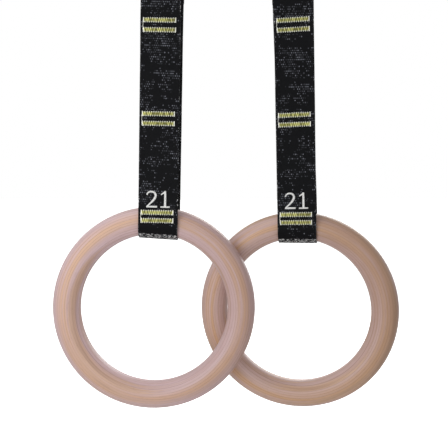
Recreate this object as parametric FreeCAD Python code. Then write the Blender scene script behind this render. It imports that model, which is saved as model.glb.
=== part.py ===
import FreeCAD, Part
import math
import os

# Pair of wooden gymnastics rings, each hung from a looped webbing strap with a cam buckle.
# Frame: millimetres, +Z up, +X along the bar that the straps hang over, +Y away from the marked face.
# Origin: on the axis of that bar, between the two straps. The bar itself isn't part of the object.

V = FreeCAD.Vector

# ---- driving dimensions -------------------------------------------------------------------------
RING_OUTER = 236.0          # outer diameter of a ring
RING_GRIP = 32.0            # thickness of its round wooden bar
STRAP_WIDTH = 45.0
STRAP_THICK = 1.8
BAR_RADIUS = 24.2           # inside radius of the strap over a 48.3 mm bar
LOOP_RADIUS = 18.1          # inside radius of the strap under the ring
LOOP_DROP = 1.25            # centre of that loop below the centre of the wood: the ring pitches about it
FLEX_LENGTH = 10.5          # webbing beside the bar that bends when the strap swings
SWING_LIMIT = 60.0          # degrees that a strap swings: so much of the bar it lifts off from

PLATE_THICK = 2.5           # pressed steel body of the buckle
PLATE_LENGTH = 36.0
CHEEK_INSIDE = 24.2         # half the inside width of the buckle
CHEEK_THICK = 2.0
STRAP_GAP = 0.3             # between webbing and the steel that it passes
CHEEK_ROUND = 0.6           # rounding of the cheeks' edges
SEAT = 0.5                  # how far the plate runs into each cheek
PIN_RADIUS = 2.5            # cam axle and anchor pin
PIN_FIT = 0.02              # between a pin and its hole in a cheek
PIN_HEAD_RADIUS = 4.1
PIN_HEAD_HEIGHT = 1.3
PIN_HEAD_ROUND = 0.9
RUNNING_GAP = 0.05
AXLE_Y = 15.2               # cam axle, from the middle of the back run
AXLE_Z = -16.0
ANCHOR_Z = 10.0
TAIL_LENGTH = 82.0
HEM_LENGTH = 22.0
RETURN_LEAN = 18.0          # the sewn end comes off the anchor pin at this angle
SEAM_LENGTH = 32.0

CAM_LEFT = -22.6            # ends of the cam along its axle; the spring fills the rest of the width
CAM_RIGHT = 16.6
CAM_HUB = 6.0
TOOTH_COUNT = 10
TOOTH_FIRST = 152.0         # angle of the first tooth round the axle, from +Y towards +Z
TOOTH_PITCH = 7.0
TOOTH_DEPTH = 1.2
TOOTH_REACH = 8.9           # of a tooth that points straight at the strap
TOOTH_RISE = 0.03           # further reach for each degree past that
CAM_HEEL = 7.6
LEVER_LEFT = -18.5
LEVER_RIGHT = 18.1
LEVER_ANGLE = 58.0
LEVER_LENGTH = 24.0
LEVER_ROOT = 4.2            # half the lever's thickness at the axle, and at its tip
LEVER_TIP = 1.6
LEVER_ROUND = 0.5
THUMB_ROWS = 4              # raised ribs under the thumb
THUMB_FIRST = 16.0
THUMB_PITCH = 2.1
THUMB_RADIUS = 0.45
THUMB_MARGIN = 3.5

SPRING_WIRE = 0.5           # radius of the wire
SPRING_SIDES = 8
SPRING_COIL = 4.2
SPRING_X = 17.9
SPRING_TURNS = 4
SPRING_PITCH = 1.3
SPRING_START = 148.0        # angles round the axle at which the wire leaves the coil
SPRING_END = 153.0
SPRING_LEG = 13.0

STITCH_THICK = 0.6
STITCH_GAP = 0.12           # the runs are turned a little, so raised stitches stand just clear of them
MARK_WIDTH = 36.4
MARK_HEIGHT = 5.8

# What differs between the two sides. Angles in degrees, heights above the centre of the wood in the loop.
# swing is how far each ring is held away from the other, because they rest against each other.
SIDES = {
    "left": {
        "bar_x": -68.4, "loop_x": -75.9, "hang": 419.6, "yaw": 0.0, "roll": 3.8, "swing": -1.55,
        "lifts_at": "front",
        "front_marks": (5.3, 115.4, 219.2, 325.0), "back_marks": (48.0, 156.0, 264.0),
        "number_height": 24.7, "mark_tilt": 0.0,
    },
    "right": {
        "bar_x": 73.3, "loop_x": 87.1, "hang": 425.9, "yaw": -10.3, "roll": -0.4, "swing": 0.7,
        "lifts_at": "back",
        "front_marks": (9.3, 122.7, 228.8, 335.0), "back_marks": (46.0, 154.0, 262.0),
        "number_height": 29.8, "mark_tilt": 1.0,
    },
}
BUCKLE_HEIGHT = -78.0       # top edge of the buckle's plate, from the bar's axis
PAIR_PITCH = 10.8           # between the two bars of a mark
LOW_PAIR_PITCH = 9.2        # the lowest pair is sewn closer together
MARK_SHIFT = -1.0           # marks sit a little to the left of the strap's middle
NUMBER_HEIGHT = 18.6
NUMBER_STROKE = 2.1
SEAM_STROKE = 0.9           # width of a sewn line, and how far it stands out
SEAM_RAISE = 0.4

# ---- worked out ---------------------------------------------------------------------------------
GRIP_RADIUS = RING_GRIP / 2
RING_RADIUS = RING_OUTER / 2 - GRIP_RADIUS
HALF_WIDTH = STRAP_WIDTH / 2
HALF_THICK = STRAP_THICK / 2
BAR_MID = BAR_RADIUS + HALF_THICK
LOOP_MID = LOOP_RADIUS + HALF_THICK
FOLD_MID = HALF_THICK + STRAP_GAP + PLATE_THICK / 2
PLATE_FRONT = HALF_THICK + STRAP_GAP
PLATE_BACK = PLATE_FRONT + PLATE_THICK
TAIL_MID = 2 * FOLD_MID
ANCHOR_MID = PIN_RADIUS + STRAP_GAP + HALF_THICK
HEAD_SEAT = CHEEK_INSIDE + CHEEK_THICK + RUNNING_GAP
COIL_CLEAR = SPRING_COIL + SPRING_WIRE + 1.5
# discs that a cheek's outline wraps: (y, z, radius) at the lip, the cam axle and the anchor pin
CHEEK_DISCS = (
    (FOLD_MID + 1.5, -PLATE_LENGTH + 1.5, 4.2),
    (AXLE_Y, AXLE_Z, 6.5),
    (ANCHOR_MID, ANCHOR_Z, 6.0),
)


def on_circle(cy, cz, radius, angle):
    """(y, z) on a circle, the angle in degrees from +Y towards +Z."""
    a = math.radians(angle)
    return (cy + radius * math.cos(a), cz + radius * math.sin(a))


def outline_solid(edges, x0, x1):
    """A closed outline in the YZ plane, extruded along X."""
    face = Part.Face(Part.Wire(edges))
    face.translate(V(x0, 0, 0))
    return face.extrude(V(x1 - x0, 0, 0))


def polygon_solid(points, x0, x1):
    corners = [V(0, y, z) for y, z in points]
    return outline_solid(Part.makePolygon(corners + corners[:1]).Edges, x0, x1)


def arc_edge(cy, cz, radius, start, end):
    ends = [on_circle(cy, cz, radius, a) for a in (start, (start + end) / 2, end)]
    return Part.Arc(*[V(0, y, z) for y, z in ends]).toShape()


def bent_strap(cy, cz, mid_radius, start, end):
    """Webbing bent round an axis along X."""
    inner = mid_radius - HALF_THICK
    outer = mid_radius + HALF_THICK
    corners = [V(0, *on_circle(cy, cz, r, a)) for r, a in
               ((inner, start), (outer, start), (outer, end), (inner, end))]
    edges = [
        Part.LineSegment(corners[0], corners[1]).toShape(),
        arc_edge(cy, cz, outer, start, end),
        Part.LineSegment(corners[2], corners[3]).toShape(),
        arc_edge(cy, cz, inner, end, start),
    ]
    return outline_solid(edges, -HALF_WIDTH, HALF_WIDTH)


def flat_strap(start, end, half_width=HALF_WIDTH, thick=STRAP_THICK):
    """A straight slab between two (y, z) points on its middle line."""
    dy = end[0] - start[0]
    dz = end[1] - start[1]
    size = math.hypot(dy, dz)
    ny = -dz / size * thick / 2
    nz = dy / size * thick / 2
    points = [
        (start[0] + ny, start[1] + nz),
        (end[0] + ny, end[1] + nz),
        (end[0] - ny, end[1] - nz),
        (start[0] - ny, start[1] - nz),
    ]
    return polygon_solid(points, -half_width, half_width)


def cut_end(y, z, ny, nz):
    """The four corners of the webbing's cut section, with its thickness along (ny, nz)."""
    return [V(x, y + s * HALF_THICK * ny, z + s * HALF_THICK * nz)
            for x, s in ((-HALF_WIDTH, 1), (HALF_WIDTH, 1), (HALF_WIDTH, -1), (-HALF_WIDTH, -1))]


def placed(points, place):
    return [place.multVec(p) for p in points]


def straight_run(lower, upper):
    """Webbing between two cut sections, which may be turned a little to each other."""
    wires = [Part.makePolygon(corners + corners[:1]) for corners in (lower, upper)]
    return Part.makeLoft(wires, True, True)


def middle(corners):
    total = V(0, 0, 0)
    for c in corners:
        total = total + c
    return total * 0.25


def run_frame(lower, upper, height):
    """Frame on a run's middle line at a height Z: local Z up the run, X across it, Y to its back."""
    low = middle(lower)
    high = middle(upper)
    t = (height - low.z) / (high.z - low.z)
    up = (high - low).normalize()
    across = ((lower[1] - lower[0]) * (1 - t) + (upper[1] - upper[0]) * t).normalize()
    back = up.cross(across).normalize()
    across = back.cross(up)
    rotation = FreeCAD.Rotation(across, back, up, "ZYX")
    return FreeCAD.Placement(low + (high - low) * t, rotation)


def hull_of_discs(discs, x0, x1):
    """Convex plate round discs (y, z, radius) given counter-clockwise from +Y towards +Z."""
    tangents = []
    for i, (y1, z1, r1) in enumerate(discs):
        y2, z2, r2 = discs[(i + 1) % len(discs)]
        size = math.hypot(y2 - y1, z2 - z1)
        uy = (y2 - y1) / size
        uz = (z2 - z1) / size
        lean = (r1 - r2) / size
        flat = math.sqrt(1 - lean * lean)
        tangents.append((uz * flat + uy * lean, -uy * flat + uz * lean))
    edges = []
    for i, (y1, z1, r1) in enumerate(discs):
        y2, z2, r2 = discs[(i + 1) % len(discs)]
        before = tangents[i - 1]
        after = tangents[i]
        half = math.hypot(before[0] + after[0], before[1] + after[1])
        mid = ((before[0] + after[0]) / half, (before[1] + after[1]) / half)
        arc = [V(0, y1 + r1 * n[0], z1 + r1 * n[1]) for n in (before, mid, after)]
        edges.append(Part.Arc(*arc).toShape())
        edges.append(Part.LineSegment(arc[2], V(0, y2 + r2 * after[0], z2 + r2 * after[1])).toShape())
    return outline_solid(edges, x0, x1)


def rod(y, z, radius, x0, x1):
    return Part.makeCylinder(radius, x1 - x0, V(x0, y, z), V(1, 0, 0))


def block(x0, x1, y0, y1, z0, z1):
    return Part.makeBox(x1 - x0, y1 - y0, z1 - z0, V(x0, y0, z0))


def rounded_rim(plate, radius):
    """Rounds the edges of a flat plate's two X faces."""
    rims = []
    for face in plate.Faces:
        if abs(face.normalAt(0, 0).x) > 0.99:
            rims.extend(face.OuterWire.Edges)
    return plate.makeFillet(radius, rims)


# ---- the ring and the strap, in the ring's own frame --------------------------------------------
# That frame's origin is the centre of the wood where the strap holds it, with X along the wood.

def wooden_ring():
    return Part.makeTorus(RING_RADIUS, GRIP_RADIUS, V(0, 0, -RING_RADIUS), V(0, 1, 0))


def splay(hang):
    """Angle in degrees at which each run leans out to the thicker bar."""
    return math.degrees(math.asin((BAR_MID - LOOP_MID) / (hang + LOOP_DROP)))


def ring_loop(lean):
    return bent_strap(0, -LOOP_DROP, LOOP_MID, 180 + lean, 360 - lean)


def loop_end(angle):
    y, z = on_circle(0, -LOOP_DROP, LOOP_MID, angle)
    ny, nz = on_circle(0, 0, 1, angle)
    return cut_end(y, z, ny, nz)


# ---- the strap at the bar, in the bar's frame ---------------------------------------------------

def flex_points(angle, side):
    """Middle of the flexing stretch where it leaves the bar, and at its lower end."""
    start = on_circle(0, 0, BAR_MID, angle)
    a = math.radians(angle)
    step = FLEX_LENGTH * side
    return start, (start[0] + step * math.sin(a), start[1] - step * math.cos(a))


def flex_end(angle, side):
    end = flex_points(angle, side)[1]
    ny, nz = on_circle(0, 0, 1, angle)
    return cut_end(end[0], end[1], ny, nz)


def webbing_at_bar(lean, lifts_at):
    """The saddle that stays on the bar, and the flexing stretches at its front and its back."""
    front = flat_strap(*flex_points(180 + lean, -1))
    back = flat_strap(*flex_points(-lean, 1))
    if lifts_at == "front":
        still = bent_strap(0, 0, BAR_MID, -lean, 180 - SWING_LIMIT)
        front = front.fuse(bent_strap(0, 0, BAR_MID, 180 - SWING_LIMIT, 180 + lean)).removeSplitter()
    else:
        still = bent_strap(0, 0, BAR_MID, SWING_LIMIT, 180 + lean)
        back = back.fuse(bent_strap(0, 0, BAR_MID, -lean, SWING_LIMIT)).removeSplitter()
    return still, front, back


# ---- the buckle, in its own frame on the back run -----------------------------------------------
# X across, Z up the run, Y to the back. Z = 0 is the top edge of the plate that the strap folds over.

def buckle_frame():
    x0 = -CHEEK_INSIDE - SEAT
    x1 = CHEEK_INSIDE + SEAT
    plate = block(x0, x1, PLATE_FRONT, PLATE_BACK, -PLATE_LENGTH, 0)
    edge = rod(FOLD_MID, 0, PLATE_THICK / 2, x0, x1)
    lip = rod(FOLD_MID, -PLATE_LENGTH, PLATE_THICK / 2, x0, x1)
    body = plate.fuse([edge, lip])
    for side in (-1, 1):
        ends = sorted((side * CHEEK_INSIDE, side * (CHEEK_INSIDE + CHEEK_THICK)))
        body = body.fuse(rounded_rim(hull_of_discs(CHEEK_DISCS, *ends), CHEEK_ROUND))
    for y, z in ((AXLE_Y, AXLE_Z), (ANCHOR_MID, ANCHOR_Z)):
        body = body.cut(rod(y, z, PIN_RADIUS + PIN_FIT, -HEAD_SEAT, HEAD_SEAT))
    return body.removeSplitter()


def riveted_pin(y, z):
    """A pin through both cheeks with a domed head at each end."""
    pin = rod(y, z, PIN_RADIUS, -HEAD_SEAT - SEAT, HEAD_SEAT + SEAT)
    for side in (-1, 1):
        far = side * (HEAD_SEAT + PIN_HEAD_HEIGHT)
        head = rod(y, z, PIN_HEAD_RADIUS, *sorted((side * HEAD_SEAT, far)))
        rim = [e for e in head.Edges if abs(e.CenterOfMass.x - far) < PIN_FIT]
        pin = pin.fuse(head.makeFillet(PIN_HEAD_ROUND, rim))
    return pin.removeSplitter()


def around_axle(radius, angle):
    return on_circle(AXLE_Y, AXLE_Z, radius, angle)


def cam_teeth():
    points = [(AXLE_Y, AXLE_Z)]
    for i in range(TOOTH_COUNT):
        angle = TOOTH_FIRST + i * TOOTH_PITCH
        reach = TOOTH_REACH + TOOTH_RISE * (angle - 180)
        points.append(around_axle(reach - TOOTH_DEPTH, angle - TOOTH_PITCH / 2))
        points.append(around_axle(reach, angle))
    points.append(around_axle(CAM_HEEL, TOOTH_FIRST + TOOTH_COUNT * TOOTH_PITCH))
    return polygon_solid(points, CAM_LEFT, CAM_RIGHT)


def thumb_lever():
    """Tapered plate from the axle to the thumb, cut away where the spring's coil lies."""
    tip = around_axle(LEVER_LENGTH, LEVER_ANGLE)
    discs = ((AXLE_Y, AXLE_Z, LEVER_ROOT), (tip[0], tip[1], LEVER_TIP))
    lever = rounded_rim(hull_of_discs(discs, LEVER_LEFT, LEVER_RIGHT), LEVER_ROUND)
    return lever.cut(rod(AXLE_Y, AXLE_Z, COIL_CLEAR, CAM_RIGHT, LEVER_RIGHT + SEAT))


def cam_lever():
    """Toothed cam on its axle, with the thumb lever that lifts the teeth off the strap."""
    hub = rod(AXLE_Y, AXLE_Z, CAM_HUB, CAM_LEFT, CAM_RIGHT)
    cam = hub.fuse([cam_teeth(), thumb_lever()])
    for i in range(THUMB_ROWS):
        along = THUMB_FIRST + i * THUMB_PITCH
        y, z = around_axle(along, LEVER_ANGLE)
        surface = LEVER_ROOT + (LEVER_TIP - LEVER_ROOT) * along / LEVER_LENGTH
        y, z = on_circle(y, z, surface, LEVER_ANGLE - 90)
        cam = cam.fuse(rod(y, z, THUMB_RADIUS, LEVER_LEFT + THUMB_MARGIN, LEVER_RIGHT - THUMB_MARGIN))
    bore = rod(AXLE_Y, AXLE_Z, PIN_RADIUS + RUNNING_GAP, CAM_LEFT - SEAT, LEVER_RIGHT + SEAT)
    return cam.cut(bore).removeSplitter()


def cam_spring():
    """Torsion spring round the axle: one leg under the lever, one on the plate beside the strap."""
    height = SPRING_PITCH * (SPRING_TURNS + (SPRING_END - SPRING_START) / 360)
    helix = Part.Wire(Part.makeHelix(SPRING_PITCH, height, SPRING_COIL))
    corners = []
    for i in range(SPRING_SIDES):
        x, z = on_circle(SPRING_COIL, 0, SPRING_WIRE, i * 360 / SPRING_SIDES)
        corners.append(V(x, 0, z))
    section = Part.makePolygon(corners + corners[:1])
    spring = helix.makePipeShell([section], True, True)
    along_x = FreeCAD.Rotation(V(0, 1, 0), V(0, 0, 1), V(1, 0, 0), "XYZ")
    turned = FreeCAD.Rotation(V(1, 0, 0), SPRING_START).multiply(along_x)
    spring.Placement = FreeCAD.Placement(V(SPRING_X, AXLE_Y, AXLE_Z), turned)
    upper = V(SPRING_X, *around_axle(SPRING_COIL, SPRING_START))
    lower = V(SPRING_X + height, *around_axle(SPRING_COIL, SPRING_END))
    up_way = SPRING_START - 90
    down_way = SPRING_END + 90
    leg_up = Part.makeCylinder(SPRING_WIRE, SPRING_LEG, upper, V(0, *on_circle(0, 0, 1, up_way)))
    drop = lower.y - PLATE_BACK - SPRING_WIRE - RUNNING_GAP
    reach = drop / -math.cos(math.radians(down_way))
    leg_down = Part.makeCylinder(SPRING_WIRE, reach, lower, V(0, *on_circle(0, 0, 1, down_way)))
    return Part.makeCompound([spring, leg_up, leg_down])


def strap_fold():
    return bent_strap(FOLD_MID, 0, FOLD_MID, 180, 0)


def tail():
    """Free end of the strap, its last stretch folded back on itself."""
    strap = flat_strap((TAIL_MID, 0), (TAIL_MID, -TAIL_LENGTH))
    hem_mid = TAIL_MID + STRAP_THICK
    hem = flat_strap((hem_mid, -TAIL_LENGTH + HEM_LENGTH), (hem_mid, -TAIL_LENGTH))
    return strap.fuse(hem)


def tail_hem_stitching():
    y = TAIL_MID + 1.5 * STRAP_THICK
    half = SEAM_STROKE / 2
    rows = []
    for inset in (3.0, 7.0):
        z = -TAIL_LENGTH + HEM_LENGTH - inset
        rows.append(block(-HALF_WIDTH + 3, HALF_WIDTH - 3, y, y + SEAM_RAISE, z - half, z + half))
    return Part.makeCompound(rows)


def seam_start():
    """Height at which the sewn end meets the strap, above the anchor pin's loop."""
    y, z = on_circle(ANCHOR_MID, ANCHOR_Z, ANCHOR_MID, RETURN_LEAN)
    slope = math.radians(RETURN_LEAN)
    return z + (y - STRAP_THICK) / math.tan(slope)


def anchor_loop():
    """The strap's sewn end, round the anchor pin and back up against the strap."""
    bend = bent_strap(ANCHOR_MID, ANCHOR_Z, ANCHOR_MID, 180, 360 + RETURN_LEAN)
    leave = on_circle(ANCHOR_MID, ANCHOR_Z, ANCHOR_MID, RETURN_LEAN)
    join = (STRAP_THICK, seam_start())
    back = flat_strap(leave, join)
    knuckle = rod(join[0], join[1], HALF_THICK, -HALF_WIDTH, HALF_WIDTH)
    seam = flat_strap(join, (STRAP_THICK, join[1] + SEAM_LENGTH))
    return bend.fuse([back, knuckle, seam])


def anchor_stitching():
    """A sewn box with a cross in it, raised on the back of the seam."""
    y = 1.5 * STRAP_THICK
    margin = 3.0
    z0 = seam_start() + margin
    z1 = seam_start() + SEAM_LENGTH - margin
    x1 = HALF_WIDTH - margin - 1
    corners = [(-x1, z0), (x1, z0), (x1, z1), (-x1, z1)]
    lines = [(corners[i], corners[(i + 1) % 4]) for i in range(4)]
    lines.append((corners[0], corners[2]))
    lines.append((corners[1], corners[3]))
    rows = [stroke(a, b, SEAM_STROKE, y, y + SEAM_RAISE) for a, b in lines]
    return rows[0].fuse(rows[1:]).removeSplitter()


# ---- raised shapes on the strap's face, drawn in its XZ plane -----------------------------------

def stroke(start, end, width, y0, y1):
    """A straight bar between two (x, z) points."""
    dx = end[0] - start[0]
    dz = end[1] - start[1]
    size = math.hypot(dx, dz)
    nx = -dz / size * width / 2
    nz = dx / size * width / 2
    corners = [
        V(start[0] + nx, y0, start[1] + nz),
        V(end[0] + nx, y0, end[1] + nz),
        V(end[0] - nx, y0, end[1] - nz),
        V(start[0] - nx, y0, start[1] - nz),
    ]
    return Part.Face(Part.makePolygon(corners + corners[:1])).extrude(V(0, y1 - y0, 0))


def mark_pair(pitch, tilt, y0, y1):
    """Two sewn bars, one above the other."""
    bars = []
    for z in (-pitch / 2, pitch / 2):
        bars.append(block(-MARK_WIDTH / 2, MARK_WIDTH / 2, y0, y1, z - MARK_HEIGHT / 2, z + MARK_HEIGHT / 2))
    pair = Part.makeCompound(bars)
    pair.rotate(V(0, 0, 0), V(0, 1, 0), -tilt)
    pair.translate(V(MARK_SHIFT, 0, 0))
    return pair


def digit_two(y0, y1):
    """An open bowl, a slanting neck from where it ends and a flat base."""
    top = NUMBER_HEIGHT / 2
    half = NUMBER_STROKE / 2
    bowl = 4.9
    bowl_x = -7.4
    bowl_z = top - half - bowl
    bowl_end = math.radians(-35)
    bowl_start = 1.6
    beyond = bowl + half + 2.4
    outer = Part.makeCylinder(bowl + half, y1 - y0, V(bowl_x, y0, bowl_z), V(0, 1, 0))
    inner = Part.makeCylinder(bowl - half, y1 - y0, V(bowl_x, y0, bowl_z), V(0, 1, 0))
    end_x = math.cos(bowl_end)
    end_z = math.sin(bowl_end)
    opening = Part.makePolygon([
        V(bowl_x - beyond, y0, bowl_z - beyond),
        V(bowl_x - beyond, y0, bowl_z + bowl_start),
        V(bowl_x, y0, bowl_z),
        V(bowl_x + beyond * end_x, y0, bowl_z + beyond * end_z),
        V(bowl_x + beyond, y0, bowl_z - beyond),
        V(bowl_x - beyond, y0, bowl_z - beyond),
    ])
    arch = outer.cut(inner).cut(Part.Face(opening).extrude(V(0, y1 - y0, 0)))
    base = -top + half
    neck_top = (bowl_x + bowl * end_x, bowl_z + bowl * end_z)
    neck_foot = (-12.2, base)
    two = arch.fuse([
        stroke(neck_top, neck_foot, NUMBER_STROKE, y0, y1),
        stroke((neck_foot[0] - half, base), (-0.9, base), NUMBER_STROKE, y0, y1),
    ])
    return two.removeSplitter()


def digit_one(y0, y1):
    """A stem with a flag and a foot."""
    top = NUMBER_HEIGHT / 2
    base = -top + NUMBER_STROKE / 2
    thin = NUMBER_STROKE * 0.8
    stem_x = 8.0
    reach = 5.0
    flag_drop = 4.2
    one = stroke((stem_x, base), (stem_x, top), NUMBER_STROKE, y0, y1).fuse([
        stroke((stem_x - reach, top - flag_drop), (stem_x, top - NUMBER_STROKE / 2), thin, y0, y1),
        stroke((stem_x - reach, base), (stem_x + reach, base), thin, y0, y1),
    ])
    return one.removeSplitter()


def number_21(y0, y1):
    return Part.makeCompound([digit_two(y0, y1), digit_one(y0, y1)])


# ---- one side -----------------------------------------------------------------------------------

def build_side(name, side):
    hang = side["hang"]
    lean = splay(hang)
    yaw = FreeCAD.Rotation(V(0, 0, 1), side["yaw"])
    roll = FreeCAD.Rotation(V(0, 1, 0), side["roll"])
    at_loop = FreeCAD.Placement(V(side["loop_x"], 0, -hang), yaw.multiply(roll))
    at_bar = FreeCAD.Placement(V(side["bar_x"], 0, 0), FreeCAD.Rotation())

    front_low = placed(loop_end(180 + lean), at_loop)
    front_high = placed(flex_end(180 + lean, -1), at_bar)
    back_low = placed(loop_end(-lean), at_loop)
    back_high = placed(flex_end(-lean, 1), at_bar)
    at_buckle = run_frame(back_low, back_high, BUCKLE_HEIGHT)
    fold_end = placed(cut_end(0, 0, 1, 0), at_buckle)
    anchor_end = placed(cut_end(0, ANCHOR_Z, 1, 0), at_buckle)

    shapes = {}

    def add(node, shape, place=None):
        solid = shape.copy()
        if place is not None:
            solid.Placement = place.multiply(solid.Placement)
        shapes[name + "_" + node] = solid

    add("ring", wooden_ring(), at_loop)
    still, front_flex, back_flex = webbing_at_bar(lean, side["lifts_at"])
    add("strap_saddle", still, at_bar)
    add("front_flex", front_flex, at_bar)
    add("back_flex", back_flex, at_bar)
    add("front_run", straight_run(front_low, front_high))
    add("ring_loop", ring_loop(lean), at_loop)
    add("back_run", straight_run(back_low, fold_end))
    add("strap_fold", strap_fold(), at_buckle)
    add("tail", tail(), at_buckle)
    add("tail_hem_stitching", tail_hem_stitching(), at_buckle)
    loop = anchor_loop()
    loop.Placement = at_buckle
    add("anchor_strap", straight_run(anchor_end, back_high).fuse(loop).removeSplitter())
    add("anchor_stitching", anchor_stitching(), at_buckle)
    add("buckle_frame", buckle_frame(), at_buckle)
    add("anchor_pin", riveted_pin(ANCHOR_MID, ANCHOR_Z), at_buckle)
    add("cam_axle", riveted_pin(AXLE_Y, AXLE_Z), at_buckle)
    add("cam_lever", cam_lever(), at_buckle)
    add("cam_spring", cam_spring(), at_buckle)

    front = -HALF_THICK - STITCH_GAP
    marks = []
    for i, height in enumerate(side["front_marks"]):
        pitch = LOW_PAIR_PITCH if i == 0 else PAIR_PITCH
        pair = mark_pair(pitch, side["mark_tilt"] * i / 2, front - STITCH_THICK, front)
        pair.Placement = run_frame(front_low, front_high, height - hang).multiply(pair.Placement)
        marks.extend(pair.Solids)
    add("front_marks", Part.makeCompound(marks))

    back = HALF_THICK + STITCH_GAP
    marks = []
    for height in side["back_marks"]:
        pair = mark_pair(PAIR_PITCH, 0, back, back + STITCH_THICK)
        pair.Placement = run_frame(back_low, back_high, height - hang).multiply(pair.Placement)
        marks.extend(pair.Solids)
    add("back_marks", Part.makeCompound(marks))

    add("number_21", number_21(front - STITCH_THICK, front),
        run_frame(front_low, front_high, side["number_height"] - hang))

    for shape in shapes.values():
        shape.rotate(V(0, 0, 0), V(1, 0, 0), side["swing"])
    return shapes


os.makedirs("parts", exist_ok=True)
for side_name, side_data in SIDES.items():
    for node, shape in build_side(side_name, side_data).items():
        shape.exportStep("parts/" + node + ".step")
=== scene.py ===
import math

import bpy
import numpy as np
from mathutils import Matrix, Vector, noise


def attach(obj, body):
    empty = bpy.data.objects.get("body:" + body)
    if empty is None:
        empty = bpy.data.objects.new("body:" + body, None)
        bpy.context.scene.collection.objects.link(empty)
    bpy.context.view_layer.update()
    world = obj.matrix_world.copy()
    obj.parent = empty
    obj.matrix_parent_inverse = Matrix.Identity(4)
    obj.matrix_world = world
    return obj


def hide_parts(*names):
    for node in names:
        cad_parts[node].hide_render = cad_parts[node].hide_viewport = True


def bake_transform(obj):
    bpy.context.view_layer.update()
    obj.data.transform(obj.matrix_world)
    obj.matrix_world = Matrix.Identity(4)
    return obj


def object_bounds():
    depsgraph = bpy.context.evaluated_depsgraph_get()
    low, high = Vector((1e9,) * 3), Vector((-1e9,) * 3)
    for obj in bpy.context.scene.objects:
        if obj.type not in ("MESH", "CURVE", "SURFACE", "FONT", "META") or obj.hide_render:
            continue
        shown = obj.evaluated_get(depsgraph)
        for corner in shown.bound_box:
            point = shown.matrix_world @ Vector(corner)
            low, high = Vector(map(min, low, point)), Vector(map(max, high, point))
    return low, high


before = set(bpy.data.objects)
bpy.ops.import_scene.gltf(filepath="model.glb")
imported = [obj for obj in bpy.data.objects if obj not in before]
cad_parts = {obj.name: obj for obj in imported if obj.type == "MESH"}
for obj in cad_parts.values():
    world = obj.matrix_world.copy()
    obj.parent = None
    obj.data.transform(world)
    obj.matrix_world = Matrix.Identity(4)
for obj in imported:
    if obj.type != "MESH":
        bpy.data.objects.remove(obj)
cad_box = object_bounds()

# Pair of wooden gymnastics rings on numbered webbing straps. Metres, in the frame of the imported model:
# +Z up, +X along the bar that the straps hang over, +Y away from the marked face.

# ---- camera, fitted to the photo's ring outlines and strap edges --------------------------------
CAMERA_PLACE = (-0.0010, -0.7534, -0.3750)
CAMERA_TILT = 86.27         # degrees up from straight down
CAMERA_LENS = 51.3          # mm
CAMERA_SENSOR = 36          # mm

camera = bpy.data.objects.new("camera", bpy.data.cameras.new("camera"))
bpy.context.scene.collection.objects.link(camera)
camera.location = CAMERA_PLACE
camera.rotation_euler = (math.radians(CAMERA_TILT), 0, 0)
camera.data.lens = CAMERA_LENS
camera.data.sensor_width = CAMERA_SENSOR
bpy.context.scene.camera = camera

# ---- driving dimensions, as in the CAD ----------------------------------------------------------
RING_RADIUS = 0.102         # to the middle of the wood
GRIP_RADIUS = 0.016
STRAP_WIDTH = 0.045
STRAP_THICK = 0.0018
HALF_WIDTH = STRAP_WIDTH / 2
HALF_THICK = STRAP_THICK / 2

BAR_MID = 0.0251            # radius of the strap's middle over the bar
LOOP_MID = 0.0190           # radius of the strap's middle under the ring
LOOP_DROP = 0.00125         # centre of that loop below the middle of the wood
FLEX_LENGTH = 0.0105        # flexing stretch beside the bar

BUCKLE_HEIGHT = -0.078      # top edge of the buckle's plate, from the bar's axis
FOLD_MID = 0.00245          # radius of the strap's fold over that edge
TAIL_LENGTH = 0.082
HEM_LENGTH = 0.022
ANCHOR_MID = 0.0037         # radius of the sewn loop round the anchor pin
ANCHOR_Z = 0.010            # the pin above the plate's top edge
RETURN_LEAN = 18.0          # degrees that the sewn end leans on its way back to the strap
SEAM_LENGTH = 0.032

AXLE_Y = 0.0152             # cam axle, from the middle of the back run
AXLE_Z = -0.016             # and from the plate's top edge
PLATE_BACK = 0.0037
SPRING_WIRE = 0.0005        # radius of the wire
SPRING_COIL = 0.0042        # radius of the coil
SPRING_X = 0.0179           # where the coil starts on the axle
SPRING_TURNS = 4
SPRING_PITCH = 0.0013
SPRING_START = 148.0        # angles round the axle at which the wire leaves the coil
SPRING_END = 153.0
SPRING_LEG = 0.013
SPRING_GAP = 0.00005        # between the lower leg and the plate

PAIR_PITCH = 0.0108         # between the two bars of a mark
LOW_PAIR_PITCH = 0.0092     # and in the mark nearest the ring
MARK_WIDTH = 0.0364
MARK_HEIGHT = 0.0058
MARK_SHIFT = -0.001         # of the marks, off the strap's middle
NUMBER_HEIGHT = 0.0186

# bar_x and loop_x are the strap's middle at its two ends, and hang is the wood's depth under the bar.
# yaw, roll and swing are in degrees. Marks and number are at heights above the wood in the loop.
# shade multiplies the wood's colour: partly the ring's own tint, partly painted light and shade, the left
# ring lighter and the right ring darker as the key light from the left falls off. heartwood is painted
# shade, not darker wood: the way to the ring's side away from the key light, across and up, with how
# much darker it is painted there.
SIDES = {
    "left": {
        "bar_x": -0.0684, "loop_x": -0.0759, "hang": 0.4196,
        "yaw": 0.0, "roll": 3.8, "swing": -1.55, "mark_tilt": 0.0,
        "front_marks": (0.0053, 0.1154, 0.2192, 0.3250),
        "back_marks": (0.048, 0.156, 0.264),
        "number_height": 0.0247,
        "seed": 11,
        "shade": (1.03, 1.02, 1.08),
        "shaded_side": (0.98, 0.20, 0.34),
    },
    "right": {
        "bar_x": 0.0733, "loop_x": 0.0871, "hang": 0.4259,
        "yaw": -10.3, "roll": -0.4, "swing": 0.7, "mark_tilt": 1.0,
        "front_marks": (0.0093, 0.1227, 0.2288, 0.3350),
        "back_marks": (0.046, 0.154, 0.262),
        "number_height": 0.0298,
        "seed": 47,
        "shade": (0.98, 0.945, 0.905),
        "shaded_side": (0.80, 0.60, 0.46),
    },
}

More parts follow.
